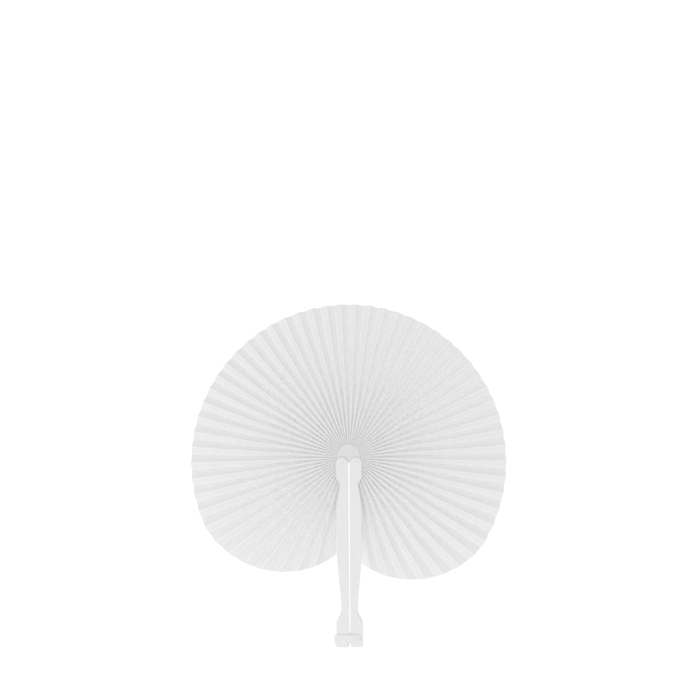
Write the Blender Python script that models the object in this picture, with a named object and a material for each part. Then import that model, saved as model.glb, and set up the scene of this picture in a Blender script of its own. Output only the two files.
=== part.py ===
# Round folding fan: a pleated paper leaf that opens to a full circle between two moulded arms.
# The arms turn on two pins in a small hub. Open, they lie side by side as the handle, and shut,
# they meet at the top as the case round the folded paper. A hooked latch holds them both ways.
# It lies face up: X to the right, Y from the handle to the top of the leaf, Z towards the viewer.

import math

import bmesh
import bpy
from mathutils import Vector

mm = 0.001

# Paper leaf
leaf_radius = 126.0 * mm
panel_width = 7.8 * mm  # from fold to fold, which is the thickness of the folded stack
paper_thickness = 0.15 * mm
side_pleats = 29  # from the top down to each arm
top_pleat_angle = 5.37  # of each pleat at the top, in degrees
widening_power = 4  # how late the pleats widen on the way down
leaf_end_angle = 173.2  # of the last fold at the rim, in degrees from the top
leaf_shoulder = {"left": 112.0, "right": 121.0}  # where the paper's rim starts to curve in
left_end_reach = 73.1 * mm  # of the last fold on the left, from the rim's centre
right_end_reach = 82.1 * mm
shoulder_power = 1.6  # how late the rim curves in
rim_drop = 1.2 * mm  # of the rim's centre below the hub's centre
bore_rise = 1.36 * mm  # of the gathered end's centre above the hub's centre
leaf_end_inset = 1.4 * mm  # of the last fold from the glued flap, at the hub
bore_room = 0.5 * mm  # from the hinge pins to the gathered paper
flap_width = 7.0 * mm  # of the paper glued along each arm, where the channel is deep enough
pleats_per_section = 3
section_gap = 0.1 * mm
fold_stations = 6  # points along each fold

# Hub and hinge pins
pin_spacing = 11.0 * mm
pin_drop = 2.9 * mm  # of the pins below the hub's centre
hub_plate_thickness = 0.9 * mm
dome_rise = 3.1 * mm  # of the round top's centre above the hub's centre
hinge_pin_radius = 0.75 * mm
pin_head_radius = 1.25 * mm
pin_head_height = 0.5 * mm
tail_head_radius = 1.45 * mm
tail_head_height = 0.35 * mm
lobe_margin = 0.35 * mm  # of the arm heads round the hub's lobes

# Arms, from the hinge end to the foot
slit_width = 1.5 * mm
flange_thickness = 1.2 * mm
web_thickness = 1.0 * mm
rib_thickness = 1.2 * mm
end_wall = 1.2 * mm
head_length = 10.7 * mm
neck_length = 6.3 * mm
neck_half = 7.3 * mm
swell_length = 24.1 * mm
grip_half = 10.1 * mm
grip_length = 28.0 * mm
taper_length = 44.7 * mm
waist_half = 6.5 * mm
waist_length = 3.0 * mm
flare_length = 11.0 * mm
foot_half = 10.5 * mm
foot_length = 17.1 * mm
left_foot_corner = 0.6 * mm
right_foot_corner = 1.7 * mm
leaf_end_room = 1.5 * mm  # from the folded paper's edge to the rib
edge_chamfer = 0.4 * mm

# Latch
latch_rise = 6.5 * mm  # of its pivot above the foot's end
latch_half = 3.4 * mm
latch_thickness = 1.2 * mm
hook_thickness = 1.2 * mm
hook_drop = 3.4 * mm  # of the hook below the bar
latch_pin_radius = 0.9 * mm
latch_head_radius = 1.7 * mm
latch_head_height = 0.5 * mm
latch_pin_depth = 7.0 * mm  # into the boss of the right foot
boss_wall = 1.6 * mm
relief_start = 6.0  # degrees past the pivot's level, where the hook's sweep nears the foot's side
spacer_length = 1.6 * mm  # of the nub that keeps the feet apart, along the foot
spacer_rise = 4.3 * mm  # of the nub's middle above the latch's pivot

# Fits
seat_gap = 0.3 * mm
running_clearance = 0.05 * mm

# Places and sizes that follow from those above
pin_x = pin_spacing / 2
slit_half = slit_width / 2
head_radius = pin_x - slit_half
web_face = slit_half + web_thickness
lobe_radius = head_radius - lobe_margin
dome_radius = 2 * pin_x - web_face - seat_gap  # just inside the webs of the shut case
leaf_bore = math.hypot(pin_x, bore_rise + pin_drop) + hinge_pin_radius + bore_room
flap_x = web_face + seat_gap + paper_thickness / 2
gather_end_angle = 180 - math.degrees(math.asin((flap_x + leaf_end_inset) / leaf_bore))

leaf_end_reach = {"left": left_end_reach, "right": right_end_reach}
rim_top = leaf_radius - rim_drop
rib_drop = rim_top + 2 * pin_drop + leaf_end_room
chamber_drop = rib_drop + rib_thickness
arm_spans = (head_length, neck_length, swell_length, grip_length, taper_length, waist_length, flare_length)
foot_end_drop = pin_drop + sum(arm_spans) + foot_length
web_drop = pin_drop + lobe_radius + 2 * seat_gap

plate_seat = flange_thickness + seat_gap
leaf_seat = plate_seat + hub_plate_thickness + seat_gap
case_depth = 2 * leaf_seat + panel_width
leaf_middle = case_depth / 2

latch_drop = foot_end_drop - latch_rise
latch_x = (4 * pin_x - slit_half - foot_half) / 2  # so that the hook fits both open and shut
latch_seat = case_depth + seat_gap
hook_reach = latch_x + foot_half + seat_gap

hub_y = (foot_end_drop - rim_top) / 2  # the middle of the whole length is at the origin
centre = Vector((0.0, hub_y, 0.0))
rim_centre = Vector((0.0, hub_y - rim_drop, 0.0))
bore_centre = Vector((0.0, hub_y + bore_rise, 0.0))
sides = ((-1, "left"), (1, "right"))


def clear_scene():
    for existing in list(bpy.data.objects):
        bpy.data.objects.remove(existing)


def plain_material(name, colour, roughness):
    material = bpy.data.materials.new(name)
    material.use_nodes = True
    shader = material.node_tree.nodes["Principled BSDF"]
    shader.inputs["Base Color"].default_value = (*colour, 1.0)
    shader.inputs["Roughness"].default_value = roughness
    shader.inputs["Metallic"].default_value = 0.0
    return material


def add_object(name, shape, material, origin):
    """Links a shape modelled in place, and moves its origin to its hinge or middle."""
    mesh = bpy.data.meshes.new(name)
    shape.to_mesh(mesh)
    shape.free()
    mesh.materials.append(material)
    mesh.shade_smooth()
    mesh.set_sharp_from_angle(angle=math.radians(28))
    thing = bpy.data.objects.new(name, mesh)
    bpy.context.scene.collection.objects.link(thing)
    for vertex in mesh.vertices:
        vertex.co -= origin
    thing.location = origin
    return thing


def attach(child, parent):
    """Parents an object and leaves it where it is."""
    bpy.context.view_layer.update()
    child.parent = parent
    child.matrix_parent_inverse = parent.matrix_world.inverted()


def arc(middle, radius, start, end, steps):
    """Points on a circle in the plane of the fan, between two angles in degrees."""
    found = []
    for step in range(steps + 1):
        angle = math.radians(start + (end - start) * step / steps)
        found.append((middle[0] + radius * math.cos(angle), middle[1] + radius * math.sin(angle)))
    return found


def inset(outline, amount):
    """The outline moved inwards by the amount. It runs anticlockwise."""
    count = len(outline)
    moved = []
    for index in range(count):
        before = Vector(outline[index - 1])
        here = Vector(outline[index])
        after = Vector(outline[(index + 1) % count])
        first = (here - before).normalized()
        second = (after - here).normalized()
        normal = Vector((-first.y - second.y, first.x + second.x)).normalized()
        reach = amount / max(0.4, normal.dot(Vector((-first.y, first.x))))
        moved.append(tuple(here + normal * reach))
    return moved


def anticlockwise(outline):
    area = 0.0
    for index, point in enumerate(outline):
        after = outline[(index + 1) % len(outline)]
        area += point[0] * after[1] - after[0] * point[1]
    return outline if area > 0 else outline[::-1]


def layered(outline, layers):
    """A solid of one outline in several layers, each a height and how far the outline is inset."""
    shape = bmesh.new()
    outline = anticlockwise(outline)
    rings = []
    for height, amount in layers:
        ring = inset(outline, amount) if amount else outline
        rings.append([shape.verts.new((x, y, height)) for x, y in ring])
    count = len(outline)
    for lower, upper in zip(rings, rings[1:]):
        for index in range(count):
            after = (index + 1) % count
            shape.faces.new((lower[index], lower[after], upper[after], upper[index]))
    shape.faces.new(rings[0][::-1])
    shape.faces.new(rings[-1])
    return shape


def slab(outline, low, high, chamfer=0.0):
    if not chamfer:
        return layered(outline, [(low, 0.0), (high, 0.0)])
    edges = [(low, chamfer), (low + chamfer, 0.0), (high - chamfer, 0.0), (high, chamfer)]
    return layered(outline, edges)


def turned(middle, profile, steps=24):
    """A solid of revolution about an upright axis, from (radius, height) points, bottom to top."""
    shape = bmesh.new()
    rings = []
    for radius, height in profile:
        if radius == 0:
            rings.append([shape.verts.new((middle[0], middle[1], height))])
            continue
        ring = arc(middle, radius, 0, 360 - 360 / steps, steps - 1)
        rings.append([shape.verts.new((x, y, height)) for x, y in ring])
    for lower, upper in zip(rings, rings[1:]):
        for index in range(steps):
            after = (index + 1) % steps
            corners = [lower[index % len(lower)], lower[after % len(lower)]]
            corners += [upper[after % len(upper)], upper[index % len(upper)]]
            shape.faces.new(list(dict.fromkeys(corners)))
    return shape


def boolean(target, shape, name, operation="DIFFERENCE"):
    """Cuts a shape out of the target, or joins it on, with a modifier and a hidden helper."""
    mesh = bpy.data.meshes.new(name)
    shape.to_mesh(mesh)
    shape.free()
    helper = bpy.data.objects.new(name, mesh)
    bpy.context.scene.collection.objects.link(helper)
    helper.hide_render = True
    helper.display_type = "WIRE"
    modifier = target.modifiers.new(name, "BOOLEAN")
    modifier.operation = operation
    modifier.solver = "EXACT"
    modifier.object = helper


def bore(target, middle, radius, low, high, name):
    """A round hole on an upright axis."""
    shape = turned(middle, [(0, low), (radius, low), (radius, high), (0, high)])
    boolean(target, shape, name)


def pin_place(side):
    return Vector((side * pin_x, hub_y - pin_drop, 0.0))


def ease_s(share):
    return share * share * (3 - 2 * share)


def ease_swell(share):
    return math.sin(share * math.pi / 2)


def ease_taper(share):
    return 0.6 * share + 0.4 * ease_s(share)


def ease_straight(share):
    return share


def outer_edge():
    """The outer side of an arm, as (distance from the slit's middle, distance below the hub's centre)."""
    spans = (
        (head_length, pin_x + head_radius, ease_straight, 1),
        (neck_length, neck_half, ease_s, 6),
        (swell_length, grip_half, ease_swell, 8),
        (grip_length, grip_half, ease_straight, 1),
        (taper_length, waist_half, ease_taper, 10),
        (waist_length, waist_half, ease_straight, 1),
        (flare_length, foot_half, ease_s, 8),
    )
    drop, half = pin_drop, pin_x + head_radius
    points = []
    for length, next_half, ease, steps in spans:
        for step in range(1, steps + 1):
            share = step / steps
            width = half + (next_half - half) * ease(share)
            points.append((width, drop + length * share))
        drop, half = drop + length, next_half
    return points


def arm_outline(side, corner):
    """The arm seen from the front: round head, neck, grip, waist and square foot."""
    points = arc((pin_x, -pin_drop), head_radius, 180, 0, 16)
    points += [(across, -below) for across, below in outer_edge()]
    bottom = -foot_end_drop
    points += arc((foot_half - corner, bottom + corner), corner, 0, -90, 4)
    points += arc((slit_half + corner, bottom + corner), corner, -90, -180, 4)
    return [(side * x, hub_y + y) for x, y in points]


def box_outline(side, near, far, top_drop, bottom_drop):
    """A rectangle beside the slit: from near to far across, and between two distances down."""
    across = (near, far, far, near)
    down = (top_drop, top_drop, bottom_drop, bottom_drop)
    return [(side * x, hub_y - y) for x, y in zip(across, down)]


def channel_outline(side):
    """The paper's channel, open on the outer side, and the fork of the head round the hub."""
    past = foot_half * 1.5
    above = head_radius * 1.5
    corners = (
        (-past, above),
        (-past, -web_drop),
        (web_face, -web_drop),
        (web_face, -rib_drop),
        (past, -rib_drop),
        (past, above),
    )
    return [(side * x, hub_y + y) for x, y in corners]


def make_arm(name, side, corner, material):
    shape = slab(arm_outline(side, corner), 0.0, case_depth, edge_chamfer)
    pin = pin_place(side)
    arm = add_object(name, shape, material, origin=pin)
    inside = (flange_thickness, case_depth - flange_thickness)
    boolean(arm, slab(channel_outline(side), *inside), name + "_channel")
    chamber = box_outline(side, web_face, 1.5 * foot_half, chamber_drop, foot_end_drop - end_wall)
    boolean(arm, slab(chamber, *inside), name + "_foot_chamber")
    through = (-case_depth, 2 * case_depth)
    bore(arm, pin, hinge_pin_radius + running_clearance, *through, name + "_pin_hole")
    recess_floor = tail_head_height + seat_gap + running_clearance
    bore(arm, pin, tail_head_radius + seat_gap, -case_depth, recess_floor, name + "_pin_recess")
    return arm


def hook_relief(pivot_x, towards):
    """What is cut off a corner of the left foot: all that lies outside the hook's sweep."""
    pivot_y = hub_y - latch_drop
    reach = hook_reach - seat_gap
    past_end = latch_rise + foot_length / 4
    end = math.degrees(math.asin(min(0.9, past_end / reach)))
    points = arc((0.0, 0.0), reach, -relief_start, -end, 12)
    beyond = reach + foot_half
    points += [(beyond, points[-1][1]), (beyond, points[0][1])]
    outline = [(pivot_x + towards * x, pivot_y + y) for x, y in points]
    return slab(outline, latch_seat - hook_drop - seat_gap, latch_seat + hook_drop)


def make_left_arm(material):
    arm = make_arm("left_arm", -1, left_foot_corner, material)
    boolean(arm, hook_relief(latch_x, -1), "left_arm_relief_open")
    shut_x = latch_x - 4 * pin_x  # of the pivot beside this foot once the case is shut
    boolean(arm, hook_relief(shut_x, 1), "left_arm_relief_shut")
    return arm


def make_right_arm(material):
    arm = make_arm("right_arm", 1, right_foot_corner, material)
    pivot = (latch_x, hub_y - latch_drop)
    hole = latch_pin_radius + running_clearance
    boss = hole + boss_wall
    low, high = flange_thickness / 2, case_depth - flange_thickness / 2
    post = turned(pivot, [(0, low), (boss, low), (boss, high), (0, high)])
    boolean(arm, post, "right_arm_boss", "UNION")
    hole_floor = case_depth - latch_pin_depth - seat_gap
    bore(arm, pivot, hole, hole_floor, 2 * case_depth, "right_arm_latch_hole")
    middle = latch_drop - spacer_rise
    half = spacer_length / 2
    nub = box_outline(1, seat_gap - slit_half, web_face, middle - half, middle + half)
    nub = slab(nub, flange_thickness, case_depth - flange_thickness)
    boolean(arm, nub, "right_arm_spacer", "UNION")
    return arm


def hub_outline():
    """A round top, and a lobe round each pin with a notch between them."""
    side_x = min(dome_radius, pin_x + 0.98 * lobe_radius)
    meet = math.degrees(math.acos((side_x - pin_x) / lobe_radius))
    points = arc((0.0, dome_rise), side_x, 180, 0, 24)
    right = arc((pin_x, -pin_drop), lobe_radius, meet, -180, 20)
    left = [(-x, y) for x, y in right[::-1]]
    return [(x, hub_y + y) for x, y in points + right + left]


def make_hub_plate(name, low, material):
    shape = slab(hub_outline(), low, low + hub_plate_thickness, edge_chamfer / 2)
    plate = add_object(name, shape, material, origin=centre)
    through = (-case_depth, 2 * case_depth)
    for side, word in sides:
        hole = hinge_pin_radius + running_clearance
        bore(plate, pin_place(side), hole, *through, f"{name}_{word}_hole")
    return plate


def domed_head(radius, low, height):
    """The profile of a low round head, from its rim to its top."""
    points = [(radius, low)]
    for share in (0.3, 0.6, 0.85):
        angle = share * math.pi / 2
        points.append((radius * math.cos(angle), low + height * math.sin(angle)))
    return points + [(0, low + height)]


def make_hinge_pin(name, side, material):
    """A rivet: a low round head in front, and a thin one sunk in the back of the arm."""
    low = running_clearance
    tail = low + tail_head_height
    head = case_depth + seat_gap
    profile = [(0, low), (tail_head_radius, low), (tail_head_radius, tail)]
    profile += [(hinge_pin_radius, tail), (hinge_pin_radius, head)]
    profile += domed_head(pin_head_radius, head, pin_head_height)
    pin = pin_place(side)
    return add_object(name, turned(pin, profile), material, origin=pin)


def make_latch(material):
    """A bar with a round end on its pivot, and a hook round the outer side of the left foot."""
    pivot = Vector((latch_x, hub_y - latch_drop, 0.0))
    near = pivot.x - hook_reach
    tip = near - hook_thickness
    corner = 0.6 * hook_thickness
    outline = arc(pivot, latch_half, 90, -90, 16)
    outline += arc((tip + corner, pivot.y - latch_half + corner), corner, -90, -180, 4)
    outline += arc((tip + corner, pivot.y + latch_half - corner), corner, 180, 90, 4)
    top = latch_seat + latch_thickness
    latch = add_object("latch", slab(outline, latch_seat, top, edge_chamfer / 2), material, pivot)
    reach = latch_half - corner
    hook = [(tip, pivot.y - reach), (near, pivot.y - reach)]
    hook += [(near, pivot.y + reach), (tip, pivot.y + reach)]
    low = latch_seat - hook_drop
    bevel = edge_chamfer / 2
    lip = layered(hook, [(low, bevel), (low + bevel, 0.0), (latch_seat + latch_thickness / 2, 0.0)])
    boolean(latch, lip, "latch_hook", "UNION")
    hole = latch_pin_radius + running_clearance
    bore(latch, pivot, hole, 0.0, 2 * top, "latch_pin_hole")
    sink = top - latch_head_height - running_clearance
    bore(latch, pivot, latch_head_radius + seat_gap, sink, 2 * top, "latch_head_recess")
    return latch


def make_latch_pin(material):
    """A rivet with a flat head that lies flush in the latch."""
    pivot = Vector((latch_x, hub_y - latch_drop, 0.0))
    top = latch_seat + latch_thickness
    under_head = top - latch_head_height
    low = case_depth - latch_pin_depth
    tip = latch_pin_radius / 2
    profile = [(0, low), (latch_pin_radius - tip, low), (latch_pin_radius, low + tip)]
    profile += [(latch_pin_radius, under_head), (latch_head_radius, under_head)]
    profile += [(latch_head_radius, top - running_clearance), (0, top)]
    return add_object("latch_pin", turned(pivot, profile), material, origin=pivot)


def fold_angles():
    """Where each fold meets the rim, in degrees from the top, with two panels to a pleat."""
    steady = top_pleat_angle * side_pleats
    widening = leaf_end_angle - steady
    shares = [index / (2 * side_pleats) for index in range(2 * side_pleats + 1)]
    return [steady * share + widening * share**widening_power for share in shares]


def direction(side, angle):
    """The way a fold runs, for an angle in degrees from the top down one side."""
    turn = math.radians(angle)
    return Vector((side * math.sin(turn), math.cos(turn), 0.0))


class Fold:
    """One fold line in plan, from the gathered end to the rim."""

    def __init__(self, inner, outer):
        self.inner = inner
        self.way = (outer - inner).normalized()
        self.length = (outer - inner).length

    def at(self, reach):
        return self.inner + self.way * reach


def side_folds(side, word):
    """Every fold of one side, from the top down. The lower ones gather nearer the arm."""
    folds = []
    shoulder = leaf_shoulder[word]
    for angle in fold_angles():
        below = max(0.0, angle - 90.0) / (leaf_end_angle - 90.0)
        gather = min(angle, 90.0) + below * (gather_end_angle - 90.0)
        cut = max(0.0, angle - shoulder) / (leaf_end_angle - shoulder)
        reach = leaf_radius + (leaf_end_reach[word] - leaf_radius) * cut**shoulder_power
        inner = bore_centre + direction(side, gather) * leaf_bore
        folds.append(Fold(inner, rim_centre + direction(side, angle) * reach))
    return folds


def fold_point(folds, index, reach):
    """A fold's place at a distance along it. Odd folds stand up and even ones lie low."""
    first, last = max(index - 1, 0), min(index + 1, len(folds) - 1)
    spread = (folds[last].at(reach) - folds[first].at(reach)).length / (last - first)
    height = math.sqrt(max(panel_width**2 - spread**2, (0.2 * panel_width) ** 2))
    point = folds[index].at(reach)
    point.z = leaf_middle + (0.5 if index % 2 else -0.5) * height
    return point


def panel_normals(points):
    """The upward normal of each panel between neighbouring points of a cross-section."""
    normals = []
    across = None
    for here, after in zip(points, points[1:]):
        step = after - here
        flat = Vector((step.x, step.y, 0.0))
        if flat.length > paper_thickness / 10 or across is None:
            across = flat.normalized()
        normals.append((Vector((0, 0, flat.length)) - across * step.z).normalized())
    return normals


def cross_section(points):
    """The paper's corners at each fold: on top before and after it, then below before and after."""
    half = paper_thickness / 2
    normals = panel_normals(points)
    ends = (0, len(points) - 1)
    corners = []
    for index, point in enumerate(points):
        before = normals[max(index - 1, 0)]
        after = normals[min(index, len(normals) - 1)]
        if index in ends:
            top, low = point + before * half, point - before * half
            corners.append((top, top, low, low))
            continue
        inner = (before + after) * (half / (1 + before.dot(after)))
        if point.z > points[index - 1].z:
            low = point - inner
            corners.append((point + before * half, point + after * half, low, low))
        else:
            top = point + inner
            corners.append((top, top, point - before * half, point - after * half))
    return corners


def paper_ring(shape, corners):
    """The vertices of one cross-section, with one vertex where two corners are the same."""
    ring = []
    for top_before, top_after, low_before, low_after in corners:
        first = shape.verts.new(top_before)
        second = first if top_after is top_before else shape.verts.new(top_after)
        third = shape.verts.new(low_before)
        fourth = third if low_after is low_before else shape.verts.new(low_after)
        ring.append((first, second, third, fourth))
    return ring


def close_end(shape, ring):
    """The paper's cut edge: a strip for each panel and a small triangle in each fold."""
    for here, after in zip(ring, ring[1:]):
        shape.faces.new((here[1], after[0], after[2], here[3]))
    for fold in ring[1:-1]:
        shape.faces.new(tuple(dict.fromkeys(fold)))


def folded_paper(sections):
    """A closed sheet through cross-sections that all have the same folds."""
    shape = bmesh.new()
    rings = [paper_ring(shape, cross_section(points)) for points in sections]
    for near, far in zip(rings, rings[1:]):
        for index in range(len(near) - 1):
            for before, after in ((0, 1), (2, 3)):
                edge = (near[index][after], near[index + 1][before])
                shape.faces.new((*edge, far[index + 1][before], far[index][after]))
        for here, there in zip(near, far):
            for before, after in ((0, 1), (2, 3)):
                if here[before] is not here[after]:
                    shape.faces.new((here[before], here[after], there[after], there[before]))
        for index in (0, -1):
            edge = (near[index][0], near[index][2])
            shape.faces.new((*edge, far[index][2], far[index][0]))
    close_end(shape, rings[0])
    close_end(shape, rings[-1])
    bmesh.ops.recalc_face_normals(shape, faces=shape.faces)
    return shape


def cut_back(end, neighbour):
    """The end of a section's last panel, short of the fold that it shares with the next one."""
    step = neighbour - end
    flat = Vector((step.x, step.y, 0.0)).length
    needed = section_gap / 2 + paper_thickness / 2 * step.length / abs(step.z)
    return end + step * min(0.8, needed / flat)


def station_shares():
    return [station / (fold_stations - 1) for station in range(fold_stations)]


def section_shape(folds, first, last):
    """The paper from one low fold to another."""
    sections = []
    for share in station_shares():
        points = []
        for index in range(first, last + 1):
            points.append(fold_point(folds, index, share * folds[index].length))
        ends = cut_back(points[0], points[1]), cut_back(points[-1], points[-2])
        points[0], points[-1] = ends
        sections.append(points)
    return folded_paper(sections)


def leaf_end_shape(folds, side):
    """The last panel of one side, and the flap that is glued flat along the arm."""
    last = folds[-1]
    start = Vector((side * flap_x, last.inner.y, 0.0))
    finish = Vector((side * flap_x, last.at(last.length).y, 0.0))
    glued = Fold(start, finish)
    highest = leaf_middle + panel_width / 2
    sections = []
    for share in station_shares():
        low = fold_point(folds, len(folds) - 1, share * last.length)
        high = glued.at(share * glued.length)
        across = math.hypot(high.x - low.x, high.y - low.y)
        rise = math.sqrt(max(panel_width**2 - across**2, (0.2 * panel_width) ** 2))
        high.z = min(highest, low.z + rise)
        flap_end = Vector((high.x, high.y, max(leaf_seat, high.z - flap_width)))
        sections.append([cut_back(low, high), high, flap_end])
    return folded_paper(sections)


def stack_pivot(fold, side, share):
    """Where a section turns, so that it stands upright in its own place in the shut case."""
    stack_half = 2 * pin_x - flap_x - paper_thickness
    level = leaf_bore - 2 * share * (rim_drop + bore_rise)  # so that the rims lie level when shut
    stacked = bore_centre + Vector((side * share * stack_half, level, 0.0))
    turn = side * math.acos(fold.way.y)
    move = stacked - fold.inner
    square = Vector((-move.y, move.x, 0.0))
    return (fold.inner + stacked) / 2 + square / (2 * math.tan(turn / 2))


def make_leaf(side, word, material):
    folds = side_folds(side, word)
    sections = []
    for start in range(0, side_pleats, pleats_per_section):
        end = min(start + pleats_per_section, side_pleats)
        middle = folds[start + end]
        pivot = stack_pivot(middle, side, (start + end) / 2 / side_pleats)
        shape = section_shape(folds, 2 * start, 2 * end)
        name = f"{word}_leaf_{len(sections) + 1:02d}"
        sections.append(add_object(name, shape, material, pivot))
    glued = add_object(f"{word}_leaf_end", leaf_end_shape(folds, side), material, pin_place(side))
    return sections, glued


def make_fan():
    clear_scene()
    shell = plain_material("moulded_polypropylene", (0.86, 0.86, 0.85), 0.42)
    inner = plain_material("hub_polypropylene", (0.82, 0.82, 0.81), 0.45)
    paper = plain_material("white_paper", (0.88, 0.88, 0.87), 0.85)

    hub = bpy.data.objects.new("hub", None)
    bpy.context.scene.collection.objects.link(hub)
    hub.location = centre
    attach(make_hub_plate("hub_back_plate", plate_seat, inner), hub)
    front_seat = case_depth - plate_seat - hub_plate_thickness
    attach(make_hub_plate("hub_front_plate", front_seat, inner), hub)
    arms = {"left": make_left_arm(shell), "right": make_right_arm(shell)}
    for side, word in sides:
        attach(arms[word], hub)
        attach(make_hinge_pin(f"{word}_hinge_pin", side, inner), hub)
        sections, glued = make_leaf(side, word, paper)
        for section in sections:
            attach(section, hub)
        attach(glued, arms[word])
    attach(make_latch(shell), arms["right"])
    attach(make_latch_pin(inner), arms["right"])


make_fan()
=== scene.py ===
# Round folding fan: white pleated paper that opens to a full circle between two moulded arms.
# The arms are the handle when it is open and the case when it is shut. It lies face up.

import math

import bmesh
import bpy
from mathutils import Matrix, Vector


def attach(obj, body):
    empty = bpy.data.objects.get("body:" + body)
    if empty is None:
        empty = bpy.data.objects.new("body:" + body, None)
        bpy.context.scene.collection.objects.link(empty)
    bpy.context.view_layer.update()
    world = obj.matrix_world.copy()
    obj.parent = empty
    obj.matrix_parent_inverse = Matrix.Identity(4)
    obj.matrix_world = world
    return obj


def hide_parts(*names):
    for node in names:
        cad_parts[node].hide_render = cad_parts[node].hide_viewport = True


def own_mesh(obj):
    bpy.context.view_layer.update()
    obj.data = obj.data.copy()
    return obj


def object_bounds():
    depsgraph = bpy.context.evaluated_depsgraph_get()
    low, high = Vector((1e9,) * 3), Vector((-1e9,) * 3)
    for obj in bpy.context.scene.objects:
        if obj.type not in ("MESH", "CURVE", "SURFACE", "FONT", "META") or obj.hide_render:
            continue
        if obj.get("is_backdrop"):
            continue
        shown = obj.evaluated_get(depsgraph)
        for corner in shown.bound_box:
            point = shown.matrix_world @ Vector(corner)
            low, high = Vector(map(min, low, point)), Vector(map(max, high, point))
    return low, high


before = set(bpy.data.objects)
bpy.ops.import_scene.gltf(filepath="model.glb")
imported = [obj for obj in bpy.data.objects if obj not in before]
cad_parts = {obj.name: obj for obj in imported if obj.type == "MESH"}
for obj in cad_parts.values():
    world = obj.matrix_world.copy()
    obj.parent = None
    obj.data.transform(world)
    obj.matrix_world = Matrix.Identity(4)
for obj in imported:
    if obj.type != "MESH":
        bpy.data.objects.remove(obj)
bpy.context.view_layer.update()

mm = 0.001
sides = {"left": -1, "right": 1}
hubCentre = Vector((0, 11.5 * mm, 0))
rimCentre = hubCentre - Vector((0, 1.2 * mm, 0))
boreCentre = hubCentre + Vector((0, 1.36 * mm, 0))  # of the paper's gathered end
caseDepth = 13.2 * mm


def hexColour(code):
    # sRGB hex, as in a paint program, to the linear values that a shader takes.
    values = [int(code[place : place + 2], 16) / 255 for place in (1, 3, 5)]
    linear = [v / 12.92 if v <= 0.04045 else ((v + 0.055) / 1.055) ** 2.4 for v in values]
    return (*linear, 1.0)


def addNode(tree, kind, inputs=None, **settings):
    # One node with its settings. An input is a value, or a socket to link from.
    node = tree.nodes.new(kind)
    for name, value in settings.items():
        setattr(node, name, value)
    for key, value in (inputs or {}).items():
        if isinstance(value, bpy.types.NodeSocket):
            tree.links.new(value, node.inputs[key])
        else:
            node.inputs[key].default_value = value
    return node


def newMaterial(name):
    material = bpy.data.materials.new(name)
    material.use_nodes = True
    material.node_tree.nodes.clear()
    return material, material.node_tree


def addMath(tree, operation, *values, clamp=False):
    # One sum of values or sockets. Gives the socket that it comes out of.
    inputs = dict(enumerate(values))
    return addNode(tree, "ShaderNodeMath", inputs, operation=operation, use_clamp=clamp).outputs[0]


def addRange(tree, value, start=0.0, end=1.0, low=0.0, high=1.0, **settings):
    # Takes a value from one range to another, and stops at its ends unless clamp is off.
    inputs = {"Value": value, "From Min": start, "From Max": end, "To Min": low, "To Max": high}
    return addNode(tree, "ShaderNodeMapRange", inputs, **settings).outputs["Result"]


def mixColours(tree, share, first, second):
    inputs = {"Factor": share, 6: first, 7: second}
    return addNode(tree, "ShaderNodeMix", inputs, data_type="RGBA").outputs[2]


def mixShaders(tree, share, first, second):
    return addNode(tree, "ShaderNodeMixShader", {0: share, 1: first, 2: second}).outputs[0]


print("materials")

paperLook = {
    "colour": "#f7f7f7",
    "cloudColour": "#f5f5f5",  # thicker patches of the sheet
    "cloudSize": 5.0,  # mm
    "fibreSize": 0.35,  # mm, drawn coarser than the real 0.03 so that it shows
    "fibreRelief": 0.02,  # mm
    "ridgeColour": "#ffffff",  # painted highlight along each high fold
    "ridgeWidth": 0.7,  # mm
    # painted shade in each low fold
    "valleyColour": "#eaeaea",
    "valleyWidth": 0.5,  # mm
    "roughness": 0.86,
    "roughnessSpread": 0.05,
    "lightThrough": 0.12,  # the share of the light that a panel passes on
    "paintedGlow": 0.03,  # painted glow over the whole sheet, in place of the whitening agent's glow and of light bounced between panels
    "paintedCloseGlow": 0.094,  # more painted glow where panels stand close, in place of the light they pass to and fro
}


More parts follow.
